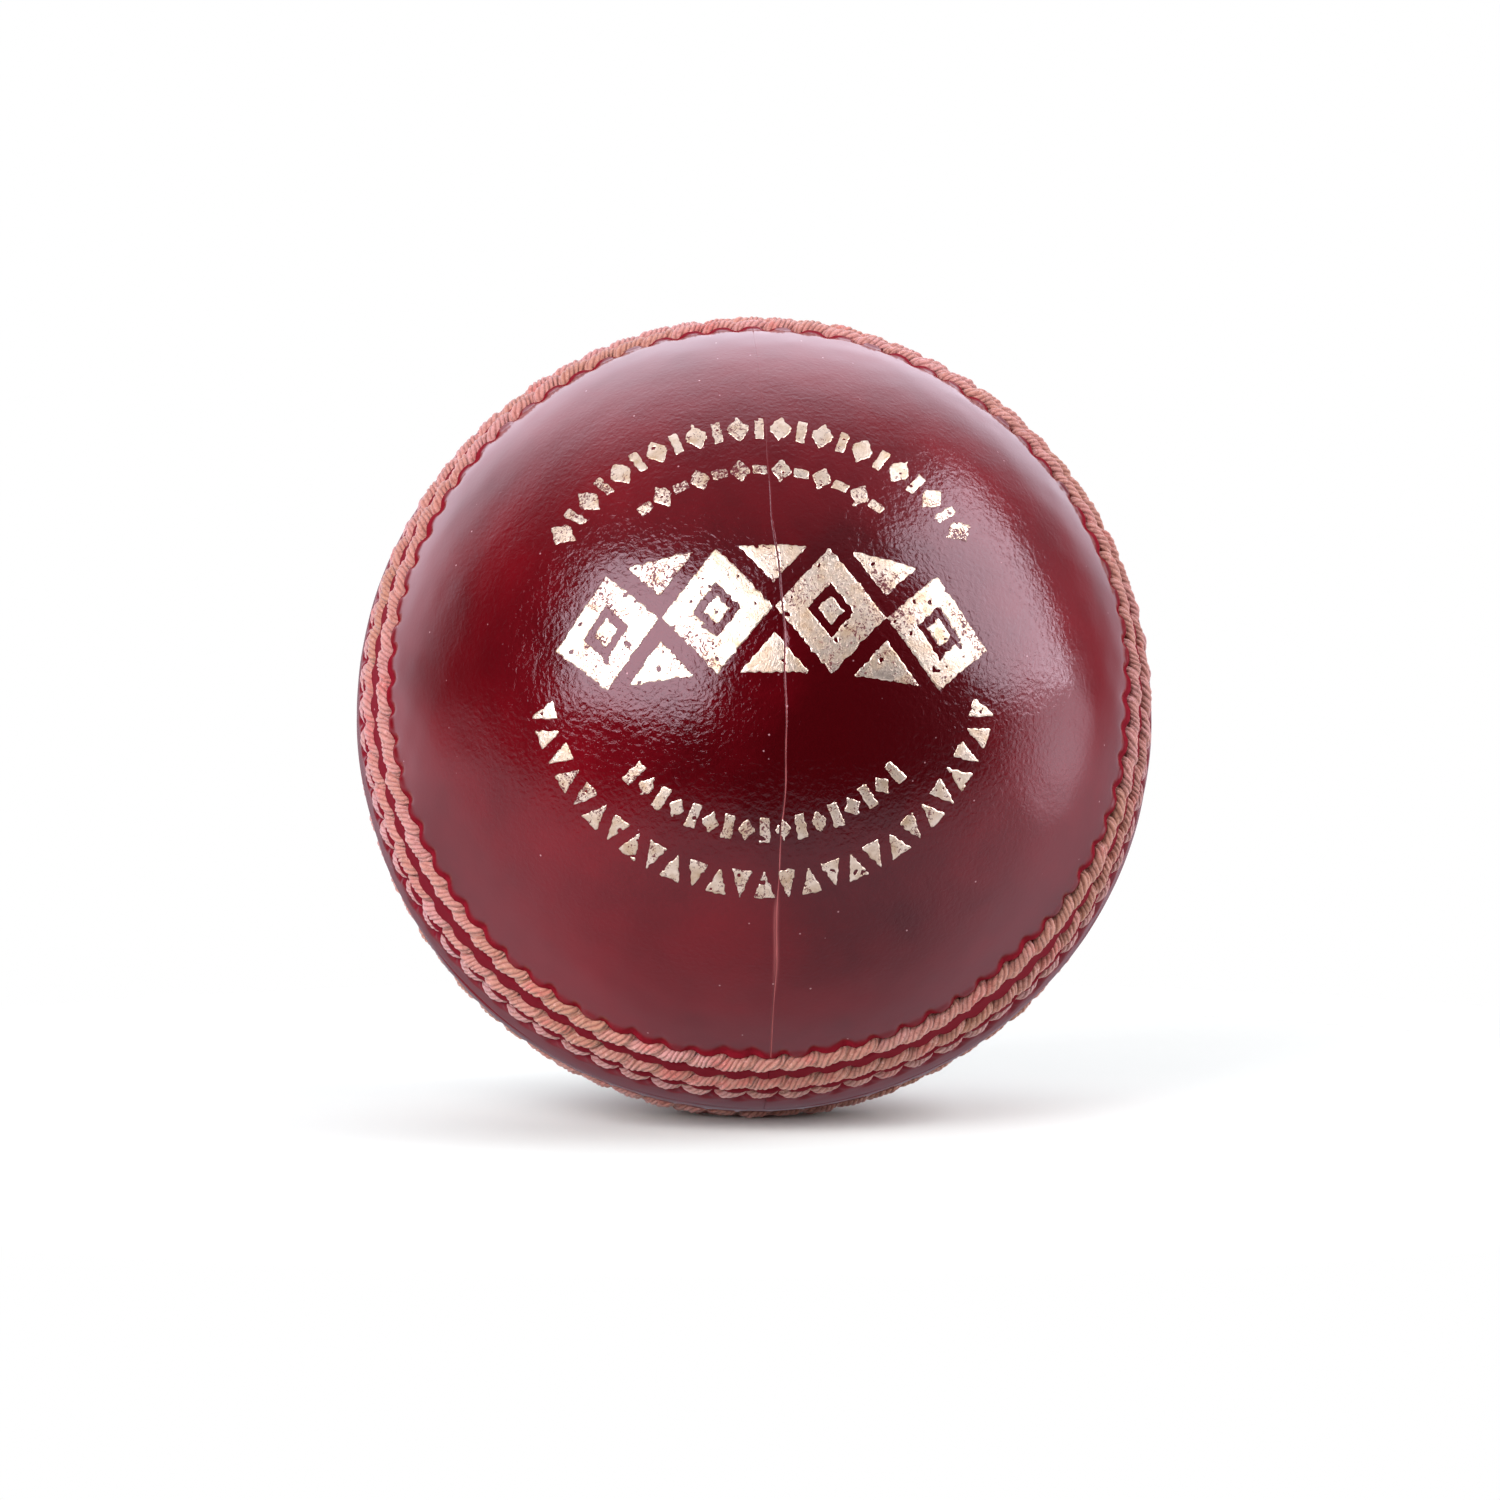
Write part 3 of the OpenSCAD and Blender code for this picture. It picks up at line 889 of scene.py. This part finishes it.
def foil_marks(name, cup, material):
    """The worn gold marks, as thin sheets that follow the leather, with their edges turned down."""
    count = int(2 * FOIL_HALF_W / FOIL_CELL)
    line = np.linspace(-FOIL_HALF_W, FOIL_HALF_W, count)
    gx, gy = np.meshgrid(line, line, indexing="ij")
    field = worn_field(gx, gy)
    nudge = 0.01
    slope_x = (worn_field(gx + nudge, gy) - field) / nudge
    slope_y = (worn_field(gx, gy + nudge) - field) / nudge
    steep = np.maximum(slope_x**2 + slope_y**2, 0.04)
    shift = np.where(np.abs(field) < 0.8 * FOIL_CELL, -field / steep, 0)
    limit = 0.45 * FOIL_CELL
    px = gx + np.clip(shift * slope_x, -limit, limit)
    py = gy + np.clip(shift * slope_y, -limit, limit)
    centre = (field[:-1, :-1] + field[1:, :-1] + field[1:, 1:] + field[:-1, 1:]) / 4
    keep = centre < 0
    at = np.arange(count**2).reshape(count, count)
    corners = np.stack([at[:-1, :-1], at[1:, :-1], at[1:, 1:], at[:-1, 1:]], -1)
    top = corners[keep]
    edges = []
    padded = np.pad(keep, 1)
    for dx, dy, a, b in ((0, -1, 0, 1), (1, 0, 1, 2), (0, 1, 2, 3), (-1, 0, 3, 0)):
        open_side = keep & ~padded[1 + dx:count + dx, 1 + dy:count + dy]
        edges.append(np.stack([corners[..., a][open_side], corners[..., b][open_side]], -1))
    edges = np.concatenate(edges)
    x, y = px.ravel(), py.ravel()
    rho = np.hypot(x, y)
    angle = rho / LEATHER_R
    sine = np.sin(angle) / np.maximum(rho, 1e-9)
    d = np.stack([sine * x, sine * y, np.cos(angle)], -1)
    used = np.unique(top)
    number = np.full(count**2, -1)
    number[used] = np.arange(len(used))
    r = surface(d[used], cup)[0]
    upper = d[used] * (r + FOIL_LIFT)[:, None]
    rim = np.unique(edges)
    rim_number = np.full(count**2, -1)
    rim_number[rim] = len(used) + np.arange(len(rim))
    lower = d[rim] * (r[number[rim]] + FOIL_LIFT - FOIL_SKIRT)[:, None]
    a, b = edges[:, 0], edges[:, 1]
    walls = np.stack([number[b], number[a], rim_number[a], rim_number[b]], -1)
    points = np.concatenate([upper, lower])
    obj = make_mesh(name, to_world(points, cup), np.concatenate([number[top], walls]), material)
    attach(obj, "root")


# ---- the ball ----

leather = leather_material()
thread = thread_material()

foil_marks("front_foil_marks", "front", foil_material())

quarter("front_right_leather", "front", 1, "front_right_quarter", leather)
quarter("front_left_leather", "front", -1, "front_left_quarter", leather)
quarter("back_lower_leather", "back", 1, "back_lower_quarter", leather)
quarter("back_upper_leather", "back", -1, "back_upper_quarter", leather)

for cup in CUPS:
    for row in ROW_ANGLES:
        stitch_row(f"{cup}_{row}_stitches", cup, row, f"{cup}_{row}_stitch_row", thread)

wool = plain_fibre_material("wool_yarn", (0.72, 0.64, 0.50), (0.42, 0.35, 0.25), 60, (9, 1, 30))
cloth = plain_fibre_material("lining_cloth", (0.62, 0.50, 0.34), (0.36, 0.27, 0.16), 90, (12, 12, 1))
sewing = plain_fibre_material("quarter_thread", (0.80, 0.74, 0.62), (0.50, 0.42, 0.32), 200, (1, 9, 9))
cork = cork_material("cork", (0.50, 0.28, 0.13), (0.22, 0.10, 0.045), 900)
core = cork_material("cork_rubber", (0.26, 0.13, 0.07), (0.08, 0.04, 0.025), 1300)
KEPT = {
    "core_ball": core,
    "inner_wool_winding": wool,
    "middle_wool_winding": wool,
    "outer_wool_winding": wool,
    "front_lining_strip": cloth,
    "back_lining_strip": cloth,
    "front_quarter_thread": sewing,
    "back_quarter_thread": sewing,
    "joining_thread": sewing,
    **{f"{layer}_cork_slip_{i}": cork for layer in ("inner", "outer") for i in range(1, 5)},
}
for node, material in KEPT.items():
    obj = frame["nodes"][node]
    obj.data.materials.clear()
    obj.data.materials.append(material)

# ---- floor, light and camera ----

CAMERA_AZIMUTH, CAMERA_ELEVATION = -2.4, 4.6
CAMERA_DISTANCE = 1.1
VIEW_WIDTH = 0.1374
VIEW_CENTRE = Vector((-0.0004, 0, -0.0031))
SENSOR_W = 36.0
LIGHT_TINT = (1.02, 0.95, 1.10)
LIGHT_DISTANCE = 0.7
FLOOR_R = 0.60
FLOOR_SIDES = 96
FLOOR_RINGS = 14


def toward(azimuth, elevation):
    """Unit direction from the ball to a place at that azimuth (0 is the front) and elevation."""
    a, e = math.radians(azimuth), math.radians(elevation)
    return Vector((math.sin(a) * math.cos(e), -math.cos(a) * math.cos(e), math.sin(e)))


def aim(obj, target):
    """Turn a light or camera to look at a place."""
    obj.rotation_euler = (target - obj.location).to_track_quat("-Z", "Y").to_euler()


def softbox(name, azimuth, elevation, width, height, power):
    """A soft rectangular light that faces the ball."""
    light = bpy.data.lights.new(name, "AREA")
    light.shape = "RECTANGLE"
    light.size, light.size_y = width, height
    light.energy = power
    light.color = LIGHT_TINT
    obj = bpy.data.objects.new(name, light)
    bpy.context.scene.collection.objects.link(obj)
    obj.location = toward(azimuth, elevation) * LIGHT_DISTANCE
    aim(obj, Vector((0, 0, 0)))
    obj.visible_camera = False


low = min(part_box(node)[0].z for node in frame["nodes"])


def round_floor():
    """A flat disc under the ball, in rings that widen outward."""
    turn = np.linspace(0, 2 * np.pi, FLOOR_SIDES + 1)[:-1]
    rings = np.geomspace(0.004, FLOOR_R, FLOOR_RINGS)
    points = [[r * math.cos(a), r * math.sin(a), low] for r in rings for a in turn]
    points.append([0, 0, low])
    at = np.arange(FLOOR_RINGS * FLOOR_SIDES).reshape(-1, FLOOR_SIDES)
    next_one = np.roll(at, -1, axis=1)
    quads = np.stack([at[:-1], at[1:], next_one[1:], next_one[:-1]], -1).reshape(-1, 4)
    middle = np.full(FLOOR_SIDES, len(points) - 1)
    fan = np.stack([middle, at[0], next_one[0]], -1)
    part = make_mesh("floor", np.array(points), [quads, fan], floor_material())
    part.visible_glossy = False


round_floor()
softbox("left_softbox", -37.9, 25.6, 0.60, 0.54, 8.2)
softbox("right_softbox", 84, 29, 0.50, 0.60, 5.8)


def studio_world():
    """White to the camera; to the ball a pale backdrop, a table, a ceiling and a low side panel."""
    world = bpy.data.worlds.new("studio")
    bpy.context.scene.world = world
    world.use_nodes = True
    n = Nodes(world.node_tree)
    seen = n.add("ShaderNodeBackground")
    seen.inputs["Color"].default_value = (1, 1, 1, 1)
    seen.inputs["Strength"].default_value = 1.0
    around = n.add("ShaderNodeBackground")
    around.inputs["Color"].default_value = (*LIGHT_TINT, 1)
    where = n.add("ShaderNodeSeparateXYZ")
    n.link(n.add("ShaderNodeTexCoord").outputs["Generated"], where.inputs[0])
    side, depth, height = (where.outputs[axis] for axis in "XYZ")

    # The backdrop: behind the ball, higher in the middle than at the sides.
    overhead = n.math("MULTIPLY", n.math("POWER", n.math("MAXIMUM", height, 0.0), 3.0), 0.45)
    behind = n.math("ADD", depth, n.math("ADD", n.math("MULTIPLY", side, -0.14), overhead))
    sideways = n.math("ABSOLUTE", side)
    low_glow = n.math(
        "MULTIPLY", n.fade(sideways, 0.20, 0.50, 0.13, 0.6), n.fade(height, -0.35, -0.02, 0, 1)
    )
    band = n.math("MAXIMUM", n.fade(height, -0.10, 0.25, 0, 1), low_glow)
    backdrop = n.math("MULTIPLY", n.fade(behind, 0.38, 0.95, 0, 1.85), band)

    # The table: below the ball, dimmer straight down and far behind.
    in_front = n.math("MAXIMUM", n.math("MULTIPLY", depth, -0.4), 0)
    table = n.fade(n.math("ADD", height, in_front), 0.05, -0.20, 0.0, 0.95)
    table = n.math("MULTIPLY", table, n.fade(height, -0.97, -0.55, 0.65, 1))
    table = n.math("MULTIPLY", table, n.fade(depth, 0.15, 0.75, 1, 0.35))

    # The low panel on the right.
    right_low = n.math("ADD", n.math("MULTIPLY", side, 0.99), n.math("MULTIPLY", depth, 0.12))
    right_low = n.math(
        "MULTIPLY", n.fade(right_low, 0.92, 1.0, 0.0, 2.2), n.fade(height, 0.26, 0.08, 0.0, 1)
    )

    ceiling = n.fade(height, 0.5, 0.95, 0.0, 0.35)
    glow = n.math("ADD", n.math("ADD", backdrop, table), n.math("ADD", ceiling, 0.015))
    n.link(n.math("ADD", glow, right_low), around.inputs["Strength"])
    choose = n.add("ShaderNodeMixShader")
    n.link(n.add("ShaderNodeLightPath").outputs["Is Camera Ray"], choose.inputs[0])
    n.link(around.outputs[0], choose.inputs[1])
    n.link(seen.outputs[0], choose.inputs[2])
    n.link(choose.outputs[0], n.add("ShaderNodeOutputWorld").inputs["Surface"])


studio_world()

camera_data = bpy.data.cameras.new("camera")
camera = bpy.data.objects.new("camera", camera_data)
bpy.context.scene.collection.objects.link(camera)
bpy.context.scene.camera = camera
camera.location = toward(CAMERA_AZIMUTH, CAMERA_ELEVATION) * CAMERA_DISTANCE
aim(camera, VIEW_CENTRE)
camera_data.sensor_width = SENSOR_W
camera_data.lens = SENSOR_W * CAMERA_DISTANCE / VIEW_WIDTH
camera_data.clip_start, camera_data.clip_end = 0.05, 20.0

bpy.context.scene.view_settings.view_transform = "Standard"
